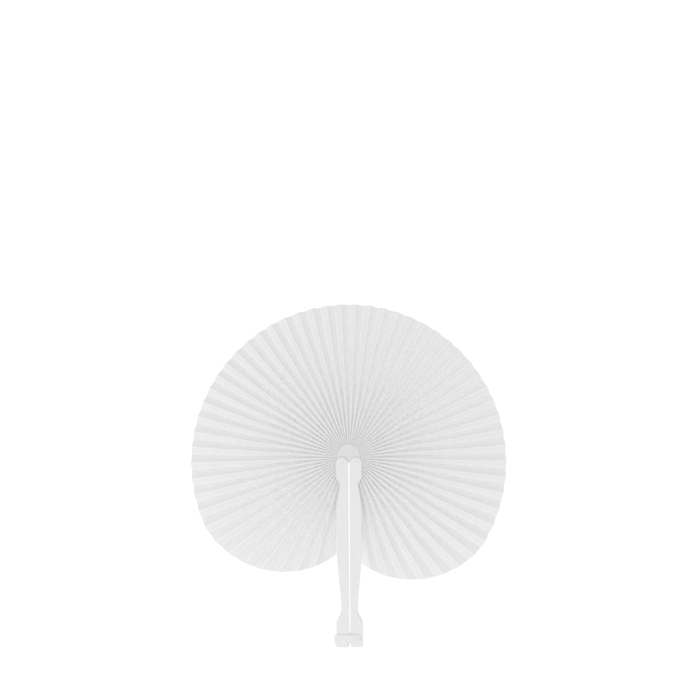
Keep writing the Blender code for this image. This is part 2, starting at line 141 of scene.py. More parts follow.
def uncoatedPaper():
    # Uncoated wood-free paper, pleated dry: matte, a little cloudy and thin enough for light to pass. A
    # painted glow keeps even the deep pleats at the hub bright, and the folds carry a painted highlight and
    # painted shade.
    look = paperLook
    material, tree = newMaterial("uncoatedWhitePaper")
    place = addNode(tree, "ShaderNodeTexCoord").outputs["Object"]
    cloudInputs = {"Vector": place, "Scale": 1 / (look["cloudSize"] * mm), "Detail": 3.0, "Roughness": 0.55}
    clouds = addNode(tree, "ShaderNodeTexNoise", cloudInputs).outputs["Fac"]
    fibreInputs = {"Vector": place, "Scale": 1 / (look["fibreSize"] * mm), "Detail": 4.0, "Roughness": 0.6}
    fibres = addNode(tree, "ShaderNodeTexNoise", {**fibreInputs, "Distortion": 0.8}).outputs["Fac"]
    cloudShare = addRange(tree, clouds, 0.35, 0.7)
    colour = mixColours(tree, cloudShare, hexColour(look["colour"]), hexColour(look["cloudColour"]))
    # The high folds get a painted highlight and the low folds painted shade, fading out over each one's
    # width.
    for fold in ("ridge", "valley"):
        distance = addNode(tree, "ShaderNodeAttribute", attribute_name=fold + "Distance").outputs["Fac"]
        crease = addRange(
            tree, distance, end=look[fold + "Width"], low=1.0, high=0.0, interpolation_type="SMOOTHSTEP"
        )
        colour = mixColours(tree, crease, colour, hexColour(look[fold + "Colour"]))
    # Painted light: an emission that grows with the stored share, in place of light bounced between the
    # panels.
    paintedGlowShare = addNode(tree, "ShaderNodeAttribute", attribute_name="paintedGlowShare").outputs["Fac"]
    brightest = look["paintedGlow"] + look["paintedCloseGlow"]
    glow = addRange(tree, paintedGlowShare, low=look["paintedGlow"], high=brightest, clamp=False)
    relief = {"Height": fibres, "Strength": 0.15, "Distance": look["fibreRelief"] * mm}
    bump = addNode(tree, "ShaderNodeBump", relief)
    spread = look["roughnessSpread"]
    rough = addRange(tree, fibres, low=look["roughness"] - spread, high=look["roughness"] + spread)
    shader = addNode(
        tree,
        "ShaderNodeBsdfPrincipled",
        {
            "Base Color": colour,
            "Roughness": rough,
            "Normal": bump.outputs["Normal"],
            "IOR": 1.45,
            "Specular IOR Level": 0.25,
            "Emission Color": hexColour("#ffffff"),
            "Emission Strength": glow,
        },
    )
    passed = addNode(tree, "ShaderNodeBsdfTranslucent", {"Color": colour})
    panel = mixShaders(tree, look["lightThrough"], shader.outputs[0], passed.outputs[0])
    # Light inside the sheet has been scattered once, so it leaves by the other face as it is.
    inside = addNode(tree, "ShaderNodeNewGeometry").outputs["Backfacing"]
    clear = addNode(tree, "ShaderNodeBsdfTransparent").outputs[0]
    addNode(tree, "ShaderNodeOutputMaterial", {"Surface": mixShaders(tree, inside, panel, clear)})
    material.cycles.emission_sampling = "NONE"  # the painted glow is too faint to be worth a lamp's samples
    return material


plasticLook = {
    "flowSize": 9.0,  # mm, faint streaks of the melt
    "grainSize": 0.22,  # mm
    "grainRelief": 0.015,  # mm
    "roughnessSpread": 0.06,
    "lightInside": 0.12,  # the share of the light that goes in and comes out close by
    "lightDepth": 0.8,  # mm
}


def mouldedPolypropylene(name, colour, shadeColour, roughness):
    # White polypropylene from a spark-eroded mould: satin, with a fine even grain and faint flow.
    look = plasticLook
    material, tree = newMaterial(name)
    place = addNode(tree, "ShaderNodeTexCoord").outputs["Object"]
    stretched = addNode(tree, "ShaderNodeMapping", {"Vector": place, "Scale": (1.0, 0.25, 1.0)})
    flowInputs = {"Vector": stretched.outputs["Vector"], "Scale": 1 / (look["flowSize"] * mm), "Detail": 2.0}
    flow = addNode(tree, "ShaderNodeTexNoise", flowInputs).outputs["Fac"]
    grainInputs = {"Vector": place, "Scale": 1 / (look["grainSize"] * mm), "Detail": 3.0, "Roughness": 0.6}
    grain = addNode(tree, "ShaderNodeTexNoise", grainInputs).outputs["Fac"]
    flowShare = addRange(tree, flow, 0.35, 0.65)
    spread = look["roughnessSpread"]
    relief = {"Height": grain, "Strength": 0.2, "Distance": look["grainRelief"] * mm}
    bump = addNode(tree, "ShaderNodeBump", relief)
    shader = addNode(
        tree,
        "ShaderNodeBsdfPrincipled",
        {
            "Base Color": mixColours(tree, flowShare, hexColour(colour), hexColour(shadeColour)),
            "Roughness": addRange(tree, grain, low=roughness - spread, high=roughness + spread),
            "Normal": bump.outputs["Normal"],
            "IOR": 1.49,
            "Subsurface Weight": look["lightInside"],
            "Subsurface Radius": (1.0, 1.0, 1.0),
            "Subsurface Scale": look["lightDepth"] * mm,
        },
    )
    addNode(tree, "ShaderNodeOutputMaterial", {"Surface": shader.outputs["BSDF"]})
    return material


paper = uncoatedPaper()
armPlastic = mouldedPolypropylene("whitePolypropylene", "#f8f8f8", "#f6f6f6", 0.42)
hubPlastic = mouldedPolypropylene("hubPolypropylene", "#eeeeee", "#ececec", 0.45)  # a shade greyer
pinPlastic = mouldedPolypropylene("polishedPolypropylene", "#fafafa", "#f9f9f9", 0.2)  # a small glint


def plainMesh(thing):
    # What the modifiers make of an object, as a mesh of its own.
    bpy.context.view_layer.update()
    graph = bpy.context.evaluated_depsgraph_get()
    evaluated = thing.evaluated_get(graph)
    mesh = bpy.data.meshes.new_from_object(evaluated, preserve_all_data_layers=True, depsgraph=graph)
    thing.modifiers.clear()
    thing.data = mesh
    return thing


def newPiece(name, shape, material=None):
    # Links a bmesh as an object at the origin.
    mesh = bpy.data.meshes.new(name)
    shape.to_mesh(mesh)
    shape.free()
    if material:
        mesh.materials.append(material)
    piece = bpy.data.objects.new(name, mesh)
    bpy.context.scene.collection.objects.link(piece)
    return piece


def finishPiece(piece, node, body):
    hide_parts(node)
    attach(piece, body)


print("pleated leaf")

leaf = {
    "Leaf Radius": 126 * mm,
    "Panel Width": 7.8 * mm,
    "Side Pleats": 29.0,
    "Top Pleat Angle": 5.37,  # degrees, and the pleats widen on the way down
    "Widening Power": 4.0,
    "End Angle": 173.2,
    "Shoulder Power": 1.6,  # how late the rim curves in below its shoulders
    "Bore": 8.207 * mm,
    "Gather End Angle": 154.56,
    "Rim Centre": rimCentre,
    "Bore Centre": boreCentre,
    "Middle Height": caseDepth / 2,
    "Fold Sharpness": 0.992,
    "Wobble": 0.03,  # how far a fold strays, as a share of a panel
    "Seam Gap": 0.004,  # at each end of a section, also as a share of a panel
    "Rim Dip": 0.0024,  # how much shorter a low fold is than a high one, as a share
    "Arm Painted Glow": 3.6,  # painted glow at the last low fold, in place of the light that the white wall of the arm facing it gives back
    "Steps Across": 8,  # to a panel
    "Steps Along": 30,
    "Seed": 7.0,
}
leafSides = {
    "left": {"Shoulder Angle": 112.0, "End Reach": 73.1 * mm},
    "right": {"Shoulder Angle": 121.0, "End Reach": 82.1 * mm},
}
paperThickness = 0.16 * mm
crispAngle = 32  # degrees, and a sharper edge of the paper isn't shaded smooth
pleatsPerSection = 3
foldSizes = (
    "Side", "Leaf Radius", "Side Pleats", "Top Pleat Angle", "Widening Power", "End Angle", "Bore",
    "Gather End Angle", "Shoulder Angle", "Shoulder Power", "End Reach", "Rim Centre", "Bore Centre",
)


def addInputs(tree, names):
    for name in names:
        kind = "NodeSocketFloat"
        if name.endswith("Centre"):
            kind = "NodeSocketVector"
        if name == "Material":
            kind = "NodeSocketMaterial"
        if name in ("Steps Across", "Steps Along", "Panels"):
            kind = "NodeSocketInt"
        tree.interface.new_socket(name, in_out="INPUT", socket_type=kind)


def foldPlaceTree():
    # Where a fold lies in plan, at a share of its length out from the hub.
    tree = bpy.data.node_groups.new("foldPlace", "GeometryNodeTree")
    addInputs(tree, ("Fold", "Share", *foldSizes))
    tree.interface.new_socket("Place", in_out="OUTPUT", socket_type="NodeSocketVector")
    given = addNode(tree, "NodeGroupInput").outputs

    # The pleats are steady at the top and widen towards the arms.
    lastFold = addMath(tree, "MULTIPLY", given["Side Pleats"], 2.0)
    share = addMath(tree, "DIVIDE", given["Fold"], lastFold)
    steady = addMath(tree, "MULTIPLY", given["Side Pleats"], given["Top Pleat Angle"])
    widening = addMath(tree, "SUBTRACT", given["End Angle"], steady)
    late = addMath(tree, "POWER", share, given["Widening Power"])
    wide = addMath(tree, "MULTIPLY", late, widening)
    angle = addMath(tree, "MULTIPLY_ADD", share, steady, wide)

    # Below the middle the folds gather nearer the arm.
    upper = addMath(tree, "MINIMUM", angle, 90.0)
    lowerEnd = addMath(tree, "SUBTRACT", given["Gather End Angle"], 90.0)
    lower = addRange(tree, angle, 90.0, given["End Angle"], high=lowerEnd)
    gathered = addMath(tree, "ADD", upper, lower)

    # Below its shoulder the rim curves in towards the arm.
    pastShoulder = addRange(tree, angle, given["Shoulder Angle"], given["End Angle"])
    cut = addMath(tree, "POWER", pastShoulder, given["Shoulder Power"])
    reach = addRange(tree, cut, low=given["Leaf Radius"], high=given["End Reach"])

    ends = []
    gatheredEnd = (gathered, given["Bore"], given["Bore Centre"])
    rimEnd = (angle, reach, given["Rim Centre"])
    for turn, radius, centre in (gatheredEnd, rimEnd):
        radians = addMath(tree, "RADIANS", turn)
        across = addMath(tree, "MULTIPLY", addMath(tree, "SINE", radians), given["Side"])
        along = addMath(tree, "COSINE", radians)
        way = addNode(tree, "ShaderNodeCombineXYZ", {"X": across, "Y": along})
        out = addNode(tree, "ShaderNodeVectorMath", {0: way.outputs[0], "Scale": radius}, operation="SCALE")
        end = addNode(tree, "ShaderNodeVectorMath", {0: out.outputs[0], 1: centre}, operation="ADD")
        ends.append(end.outputs[0])
    ways = {"Factor": given["Share"], 4: ends[0], 5: ends[1]}
    place = addNode(tree, "ShaderNodeMix", ways, data_type="VECTOR")
    addNode(tree, "NodeGroupOutput", {"Place": place.outputs[1]})
    return tree


def pleatedPaperTree(foldPlace):
    # A sheet of pleats. Odd folds stand up and even ones lie low, and every panel keeps its width, so
    # the pleats are deep at the hub and shallow at the rim.
    tree = bpy.data.node_groups.new("pleatedPaper", "GeometryNodeTree")
    own = (
        "First Fold", "Panels", "Panel Width", "Middle Height", "Fold Sharpness", "Wobble", "Seam Gap",
        "Rim Dip", "Arm Painted Glow", "Steps Across", "Steps Along", "Seed", "Material",
    )
    addInputs(tree, (*own, *foldSizes))
    tree.interface.new_socket("Geometry", in_out="OUTPUT", socket_type="NodeSocketGeometry")
    given = addNode(tree, "NodeGroupInput").outputs

    cells = addMath(tree, "MULTIPLY", given["Panels"], given["Steps Across"])
    columns = addMath(tree, "ADD", cells, 1.0)
    rows = addMath(tree, "ADD", given["Steps Along"], 1.0)
    gridInputs = {"Size X": 1.0, "Size Y": 1.0, "Vertices X": columns, "Vertices Y": rows}
    grid = addNode(tree, "GeometryNodeMeshGrid", gridInputs)
    centred = addNode(tree, "GeometryNodeInputPosition").outputs[0]
    half = (0.5, 0.5, 0.0)
    flatPlace = addNode(tree, "ShaderNodeVectorMath", {0: centred, 1: half}, operation="ADD")
    flat = addNode(tree, "ShaderNodeSeparateXYZ", {0: flatPlace.outputs[0]}).outputs
    share = flat["Y"]

    # The seam gap keeps a section off its neighbour at the low fold that they share.
    inner = addMath(tree, "SUBTRACT", given["Panels"], given["Seam Gap"])
    counted = addRange(tree, flat["X"], low=given["Seam Gap"], high=inner)

    # Points crowd towards the folds, so that these stay crisp.
    crowding = 0.9
    turns = addMath(tree, "MULTIPLY", counted, 2 * math.pi)
    wave = addMath(tree, "SINE", turns)
    crowded = addMath(tree, "MULTIPLY_ADD", wave, -crowding / (2 * math.pi), counted)
    fold = addMath(tree, "ADD", crowded, given["First Fold"])

    # Each fold strays a little from its even place, alike on both sides of a seam.
    signedFold = addMath(tree, "MULTIPLY", fold, given["Side"])
    strayInputs = {"X": signedFold, "Y": share, "Z": given["Seed"]}
    strayPlace = addNode(tree, "ShaderNodeCombineXYZ", strayInputs).outputs[0]
    noiseInputs = {"Vector": strayPlace, "Scale": 0.9, "Detail": 1.0}
    noise = addNode(tree, "ShaderNodeTexNoise", noiseInputs).outputs["Fac"]
    stray = addMath(tree, "SUBTRACT", noise, 0.5)
    amount = addMath(tree, "MULTIPLY", given["Wobble"], given["Side"])
    placed = addMath(tree, "MULTIPLY_ADD", stray, amount, fold)

    # A triangle wave with slightly rounded tips: asin(s sin x) / asin(s).
    phase = addMath(tree, "MULTIPLY_ADD", fold, math.pi, -math.pi / 2)
    swing = addMath(tree, "SINE", phase)
    eased = addMath(tree, "MULTIPLY", swing, given["Fold Sharpness"])
    bent = addMath(tree, "ARCSINE", eased)
    full = addMath(tree, "ARCSINE", given["Fold Sharpness"])
    zigzag = addMath(tree, "DIVIDE", bent, full)

    # The rim is wavy: the low folds end a little short.
    lowness = addRange(tree, zigzag, 1.0, -1.0)
    shorter = addMath(tree, "MULTIPLY", lowness, given["Rim Dip"])
    kept = addMath(tree, "SUBTRACT", 1.0, shorter)
    reached = addMath(tree, "MULTIPLY", share, kept)

    # The places one fold before, here and one fold on. What a panel's width doesn't spend across, it
    # climbs.
    sizes = {name: given[name] for name in foldSizes}
    places = []
    for step in (-1.0, 0.0, 1.0):
        inputs = {**sizes, "Fold": addMath(tree, "ADD", placed, step), "Share": reached}
        found = addNode(tree, "GeometryNodeGroup", inputs, node_tree=foldPlace)
        places.append(found.outputs["Place"])
    chord = addNode(tree, "ShaderNodeVectorMath", {0: places[0], 1: places[2]}, operation="DISTANCE")
    spread = addMath(tree, "MULTIPLY", chord.outputs["Value"], 0.5)
    spreadSquare = addMath(tree, "MULTIPLY", spread, spread)
    widthSquare = addMath(tree, "MULTIPLY", given["Panel Width"], given["Panel Width"])
    heightSquare = addMath(tree, "SUBTRACT", widthSquare, spreadSquare)
    height = addMath(tree, "SQRT", addMath(tree, "MAXIMUM", heightSquare, 0.0))
    halfHeight = addMath(tree, "MULTIPLY", height, 0.5)
    level = addMath(tree, "MULTIPLY_ADD", zigzag, halfHeight, given["Middle Height"])
    plan = addNode(tree, "ShaderNodeSeparateXYZ", {0: places[1]}).outputs
    point = addNode(tree, "ShaderNodeCombineXYZ", {"X": plan["X"], "Y": plan["Y"], "Z": level})

    # For the painted highlight and shade of the creases: how far each point is from its high fold and its
    # low one, in millimetres.
    # For the painted glow, in place of the light that is caught between panels: how close these stand, from
    # 0 to 1, and more on the way down to the last low fold, which faces the arm. All are stored before the
    # points move, because they are worked out from the flat grid.
    halfWidth = addMath(tree, "MULTIPLY", given["Panel Width"], 0.5 / mm)
    climbed = addMath(tree, "MULTIPLY", zigzag, halfWidth)
    below = addMath(tree, "SUBTRACT", halfWidth, climbed)
    above = addMath(tree, "ADD", halfWidth, climbed)
    opened = addMath(tree, "DIVIDE", spread, given["Panel Width"])
    shut = addMath(tree, "SUBTRACT", 1.0, opened, clamp=True)
    close = addMath(tree, "MULTIPLY", shut, shut)
    lastFold = addMath(tree, "MULTIPLY", given["Side Pleats"], 2.0)
    lastRidge = addMath(tree, "SUBTRACT", lastFold, 1.0)
    facing = addRange(tree, fold, lastRidge, lastFold, high=given["Arm Painted Glow"])
    caught = addMath(tree, "ADD", close, facing)
    shape = grid.outputs[0]
    for name, value in (("ridgeDistance", below), ("valleyDistance", above), ("paintedGlowShare", caught)):
        inputs = {"Geometry": shape, "Name": name, "Value": value}
        stored = addNode(
            tree, "GeometryNodeStoreNamedAttribute", inputs, data_type="FLOAT", domain="POINT"
        )
        shape = stored.outputs[0]
    moved = addNode(tree, "GeometryNodeSetPosition", {"Geometry": shape, "Position": point.outputs[0]})
    real = addNode(tree, "GeometryNodeRealizeInstances", {"Geometry": moved.outputs[0]})
    dressing = {"Geometry": real.outputs[0], "Material": given["Material"]}
    dressed = addNode(tree, "GeometryNodeSetMaterial", dressing)
    addNode(tree, "NodeGroupOutput", {"Geometry": dressed.outputs[0]})
    return tree


def growSheet(name, tree, values):
    # Runs the tree on an empty mesh, with each input set by its socket's identifier.
    sheet = bpy.data.objects.new(name, bpy.data.meshes.new(name))
    bpy.context.scene.collection.objects.link(sheet)
    modifier = sheet.modifiers.new("pleats", "NODES")
    modifier.node_group = tree
    for item in tree.interface.items_tree:
        if item.in_out == "INPUT":
            modifier[item.identifier] = values[item.name]
    return plainMesh(sheet)


def thicken(sheet):
    # The paper's own thickness, half on each side of the sheet.
    wall = sheet.modifiers.new("thickness", "SOLIDIFY")
    wall.thickness = paperThickness
    wall.offset = 0.0
    plainMesh(sheet)
    sheet.data.shade_smooth()
    sheet.data.set_sharp_from_angle(angle=math.radians(crispAngle))
    return sheet


gluedFlap = {
    "x": 2.125 * mm,  # of the flap, from the middle of the slit
    "width": 7.0 * mm,  # where the channel is deep enough
    "lowest": 2.75 * mm,
    "bend": 0.5 * mm,
    "leastRise": 0.2,  # of the end panel, as a share of its width
    "paintedGlowShare": 1.7,  # of the painted glow at the top, less than at the last low fold
    "steps": 10,
}


def gluedEnd(name, side, lastFold):
    # The last panel climbs from the last low fold to the arm, and its flap is glued down the web.
    panel = leaf["Panel Width"]
    highest = leaf["Middle Height"] + panel / 2
    shape = bmesh.new()
    fromRidge = shape.verts.layers.float.new("ridgeDistance")
    fromValley = shape.verts.layers.float.new("valleyDistance")
    paintedGlowShare = shape.verts.layers.float.new("paintedGlowShare")
    rows = []
    for low in lastFold:
        across = abs(side * gluedFlap["x"] - low.x)
        rise = math.sqrt(max(panel**2 - across**2, (gluedFlap["leastRise"] * panel) ** 2))
        top = Vector((side * gluedFlap["x"], low.y, min(highest, low.z + rise)))
        climb = (top - low).normalized()
        points = []
        for step in range(gluedFlap["steps"] + 1):
            points.append(low.lerp(top - climb * gluedFlap["bend"], step / gluedFlap["steps"]))
        down = top - Vector((0, 0, gluedFlap["bend"]))
        points.append((points[-1] + top * 2 + down) / 4)
        points.append(down)
        points.append(Vector((top.x, top.y, max(gluedFlap["lowest"], top.z - gluedFlap["width"]))))
        row = []
        for point in points:
            vertex = shape.verts.new(point)
            vertex[fromRidge] = (point - top).length / mm
            vertex[fromValley] = (point - low).length / mm
            climbed = min(1.0, (point - low).length / panel)
            vertex[paintedGlowShare] = leaf["Arm Painted Glow"] + (gluedFlap["paintedGlowShare"] - leaf["Arm Painted Glow"]) * climbed
            row.append(vertex)
        rows.append(row)
    for near, far in zip(rows, rows[1:]):
        for index in range(len(near) - 1):
            shape.faces.new((near[index], near[index + 1], far[index + 1], far[index]))
    return newPiece(name, shape, paper)


def foldFlat(piece):
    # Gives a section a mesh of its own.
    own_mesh(piece)


foldTree = foldPlaceTree()
sheetTree = pleatedPaperTree(foldTree)
pleats = int(leaf["Side Pleats"])
rowLength = leaf["Steps Along"] + 1
for word, side in sides.items():
    for number, start in enumerate(range(0, pleats, pleatsPerSection), 1):
        count = min(pleatsPerSection, pleats - start)
        values = {**leaf, **leafSides[word], "Side": float(side), "Material": paper}
        values |= {"First Fold": 2.0 * start, "Panels": 2 * count}
        node = f"{word}_leaf_{number:02d}"
        sheet = growSheet(f"{word}PaperLeaf{number:02d}", sheetTree, values)
        lastFold = [vertex.co.copy() for vertex in sheet.data.vertices[-rowLength:]]
        thicken(sheet)
        finishPiece(sheet, node, node)
        foldFlat(sheet)
    # The end panel goes on from the last fold of the last section.
    flap = thicken(gluedEnd(f"{word}PaperFlap", side, lastFold))
    finishPiece(flap, f"{word}_leaf_end", f"{word}_arm")
    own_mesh(flap)
    print(word, "side of the leaf made")


print("arms")

# Drops are measured down from the hub's centre, and halves out from the middle of the slit.
arm = {
    "pinX": 5.5 * mm,
    "pinDrop": 2.9 * mm,
    "slitHalf": 0.75 * mm,
    "flange": 1.2 * mm,
    "web": 1.0 * mm,
    "rib": 1.2 * mm,
    "ribDrop": 132.1 * mm,
    "webDrop": 7.9 * mm,
    "endWall": 1.2 * mm,
    "headLength": 10.7 * mm,
    "neckLength": 6.3 * mm,
    "neckHalf": 7.3 * mm,
    "swellLength": 24.1 * mm,
    "gripHalf": 10.1 * mm,
    "gripLength": 28.0 * mm,
    "taperLength": 44.7 * mm,
    "waistHalf": 6.5 * mm,
    "waistLength": 3.0 * mm,
    "flareLength": 11.0 * mm,
    "footHalf": 10.5 * mm,
    "footLength": 17.1 * mm,
    "leftCorner": 0.65 * mm,
    "rightCorner": 1.7 * mm,
    "edgeRadius": 0.55 * mm,
    "pinHole": 0.8 * mm,
    "tailRecess": 1.75 * mm,
    "tailRecessDepth": 0.7 * mm,
}
arm["headRadius"] = arm["pinX"] - arm["slitHalf"]
armSpans = ("head", "neck", "swell", "grip", "taper", "waist", "flare", "foot")
footEndDrop = arm["pinDrop"] + sum(arm[span + "Length"] for span in armSpans)

latch = {
    "x": 5.375 * mm,
    "drop": 141.3 * mm,
    "half": 3.4 * mm,
    "seat": 13.5 * mm,
    "thickness": 1.2 * mm,
    "tipCorner": 0.8 * mm,
    "hookReach": 16.175 * mm,
    "hookThickness": 1.2 * mm,
    "hookDrop": 3.4 * mm,
    "hookToe": ((0, 0.25 * mm), (0.08 * mm, 0.1 * mm), (0.25 * mm, 0)),  # heights, with their insets
    "pinRadius": 0.9 * mm,
    "headRadius": 1.92 * mm,
    "headHeight": 0.5 * mm,
    "headRoom": 0.03 * mm,
    "headEdge": ((0, 0.08 * mm), (0.05 * mm, 0.02 * mm), (0.15 * mm, 0)),  # insets, with their drops
    "underside": 0.2 * mm,  # how far the bar's belly reaches down towards the feet
    "pinDepth": 7.0 * mm,
    "pinBevel": 0.4 * mm,
    "bossWall": 1.6 * mm,
    "spacerLength": 0.9 * mm,  # of the nub that keeps the slit open at the foot
    "spacerRise": 3.95 * mm,
    "spacerSink": 0.15 * mm,
    "spacerDepth": 3.5 * mm,
    "edgeRadius": 0.5 * mm,
    "clearance": 0.3 * mm,  # to what the latch passes or stands over
    "play": 0.05 * mm,  # round its pin
}
latchPlace = (latch["x"], hubCentre.y - latch["drop"])
latchHole = latch["pinRadius"] + latch["play"]
wellBelow, wellAbove = -mm, 2 * caseDepth  # heights for cuts that go right through


def hingePlace(side):
    return (side * arm["pinX"], hubCentre.y - arm["pinDrop"])


def arcPoints(middle, radius, start, end, steps):
    found = []
    for step in range(steps + 1):
        angle = math.radians(start + (end - start) * step / steps)
        found.append((middle[0] + radius * math.cos(angle), middle[1] + radius * math.sin(angle)))
    return found


def insetOutline(outline, amount):
    # The anticlockwise outline moved inwards.
    moved = []
    for index, point in enumerate(outline):
        here = Vector(point)
        first = (here - Vector(outline[index - 1])).normalized()
        second = (Vector(outline[(index + 1) % len(outline)]) - here).normalized()
        normal = Vector((-first.y - second.y, first.x + second.x)).normalized()
        moved.append(tuple(here + normal * (amount / max(0.5, normal.dot(Vector((-first.y, first.x)))))))
    return moved


def layeredShape(outline, layers):
    # A closed solid of one outline, with a height and an inset for each layer.
    area = 0.0
    for index, point in enumerate(outline):
        after = outline[(index + 1) % len(outline)]
        area += point[0] * after[1] - after[0] * point[1]
    if area < 0:
        outline = outline[::-1]
    shape = bmesh.new()
    rings = []
    for height, amount in layers:
        ring = insetOutline(outline, amount) if amount else outline
        rings.append([shape.verts.new((x, y, height)) for x, y in ring])
    for lower, upper in zip(rings, rings[1:]):
        for index in range(len(outline)):
            after = (index + 1) % len(outline)
            shape.faces.new((lower[index], lower[after], upper[after], upper[index]))
    shape.faces.new(rings[0][::-1])
    shape.faces.new(rings[-1])
    return shape


def roundedShape(outline, low, high, radius, steps=5):
    # A slab whose upper and lower edges are rounded.
    layers = []
    for step in range(steps + 1):
        angle = math.radians(90 * step / steps)
        layers.append((low + radius * (1 - math.sin(angle)), radius * (1 - math.cos(angle))))
    layers = layers[::-1]
    upper = [(low + high - height, amount) for height, amount in layers[::-1]]
    return layeredShape(outline, layers + upper)


def turnedShape(middle, profile, steps=48):
    # A solid of revolution from (radius, height) points, bottom to top.
    shape = bmesh.new()
    rings = []
    for radius, height in profile:
        if radius == 0:
            rings.append([shape.verts.new((middle[0], middle[1], height))])
            continue
        ring = arcPoints(middle, radius, 0, 360 - 360 / steps, steps - 1)
        rings.append([shape.verts.new((x, y, height)) for x, y in ring])
    for lower, upper in zip(rings, rings[1:]):
        for index in range(steps):
            after = (index + 1) % steps
            corners = [lower[index % len(lower)], lower[after % len(lower)]]
            corners += [upper[after % len(upper)], upper[index % len(upper)]]
            shape.faces.new(list(dict.fromkeys(corners)))
    return shape


def cylinder(middle, radius, low, high):
    return turnedShape(middle, [(0, low), (radius, low), (radius, high), (0, high)])


def boolean(piece, shape, operation="DIFFERENCE"):
    tool = newPiece(piece.name + "Tool", shape)
    modifier = piece.modifiers.new("shape", "BOOLEAN")
    modifier.operation = operation
    modifier.solver = "EXACT"
    modifier.object = tool
    plainMesh(piece)
    bpy.data.objects.remove(tool)


def smoothPiece(piece, degrees=30):
    # Merges what the cuts left, shades smooth all but the edges sharper than the given angle, and shades the
    # flats flat.
    shape = bmesh.new()
    shape.from_mesh(piece.data)
    bmesh.ops.remove_doubles(shape, verts=shape.verts, dist=0.001 * mm)
    shape.to_mesh(piece.data)
    shape.free()
    piece.data.shade_smooth()
    piece.data.set_sharp_from_angle(angle=math.radians(degrees))
    weighted = piece.modifiers.new("flats", "WEIGHTED_NORMAL")
    weighted.keep_sharp = True
    plainMesh(piece)


def steadyEase(share):
    return share


def softEase(share):
    return share * share * (3 - 2 * share)


def swellEase(share):
    return math.sin(share * math.pi / 2)


def taperEase(share):
    return 0.6 * share + 0.4 * softEase(share)


def armOutline(side, corner):
    # Round head, neck, grip, waist and square foot, from the inner edge round to it again. Each span
    # has a length, a half width at its end, the way there and a number of steps.
    spans = (
        (arm["headLength"], arm["pinX"] + arm["headRadius"], steadyEase, 4),
        (arm["neckLength"], arm["neckHalf"], softEase, 12),
        (arm["swellLength"], arm["gripHalf"], swellEase, 20),
        (arm["gripLength"], arm["gripHalf"], steadyEase, 6),
        (arm["taperLength"], arm["waistHalf"], taperEase, 24),
        (arm["waistLength"], arm["waistHalf"], steadyEase, 2),
        (arm["flareLength"], arm["footHalf"], softEase, 16),
    )
    points = arcPoints((arm["pinX"], -arm["pinDrop"]), arm["headRadius"], 180, 0, 40)
    drop, half = arm["pinDrop"], arm["pinX"] + arm["headRadius"]
    for length, nextHalf, ease, steps in spans:
        for step in range(1, steps + 1):
            share = step / steps
            points.append((half + (nextHalf - half) * ease(share), -(drop + length * share)))
        drop, half = drop + length, nextHalf
    points += arcPoints((arm["footHalf"] - corner, corner - footEndDrop), corner, 0, -90, 8)
    points += arcPoints((arm["slitHalf"] + corner, corner - footEndDrop), corner, -90, -180, 8)
    return [(side * x, hubCentre.y + y) for x, y in points]


def blockShape(side, near, far, top, bottom, low, high):
    corners = ((near, top), (far, top), (far, bottom), (near, bottom))
    return layeredShape([(side * x, hubCentre.y - y) for x, y in corners], [(low, 0), (high, 0)])


def hookRelief(pivotX, towards):
    # The corner of the left foot that the hook sweeps past is cut away, from a little below the bar
    # to past the foot's end.
    start = 6  # degrees
    reach = latch["hookReach"] - latch["clearance"]
    pastEnd = footEndDrop - latch["drop"] + arm["footLength"] / 4
    end = math.degrees(math.asin(min(0.9, pastEnd / reach)))
    points = arcPoints((0, 0), reach, -start, -end, 24)
    beyond = reach + arm["footHalf"]
    points += [(beyond, points[-1][1]), (beyond, points[0][1])]
    outline = [(pivotX + towards * x, latchPlace[1] + y) for x, y in points]
    low = latch["seat"] - latch["hookDrop"] - latch["clearance"]
    return layeredShape(outline, [(low, 0), (latch["seat"] + latch["hookDrop"], 0)])


def makeArm(word, side):
    outline = armOutline(side, arm[word + "Corner"])
    piece = newPiece(word + "Arm", roundedShape(outline, 0, caseDepth, arm["edgeRadius"]), armPlastic)
    inside = (arm["flange"], caseDepth - arm["flange"])
    web = arm["slitHalf"] + arm["web"]
    past, above = 16 * mm, 8 * mm  # how far out the cuts run, beyond the foot and the head
    fork = [(-past, above), (-past, -arm["webDrop"]), (web, -arm["webDrop"])]
    fork += [(web, -arm["ribDrop"]), (past, -arm["ribDrop"]), (past, above)]
    channel = [(side * x, hubCentre.y + y) for x, y in fork]
    boolean(piece, layeredShape(channel, [(height, 0) for height in inside]))
    chamber = (arm["ribDrop"] + arm["rib"], footEndDrop - arm["endWall"])
    boolean(piece, blockShape(side, web, past, *chamber, *inside))
    boolean(piece, cylinder(hingePlace(side), arm["pinHole"], wellBelow, wellAbove))
    boolean(piece, cylinder(hingePlace(side), arm["tailRecess"], wellBelow, arm["tailRecessDepth"]))
    return piece


# The latch passes the left foot as it lies open, and from its other side where the case is shut.
leftArm = makeArm("left", -1)
boolean(leftArm, hookRelief(latch["x"], -1))
boolean(leftArm, hookRelief(latch["x"] - 4 * arm["pinX"], 1))

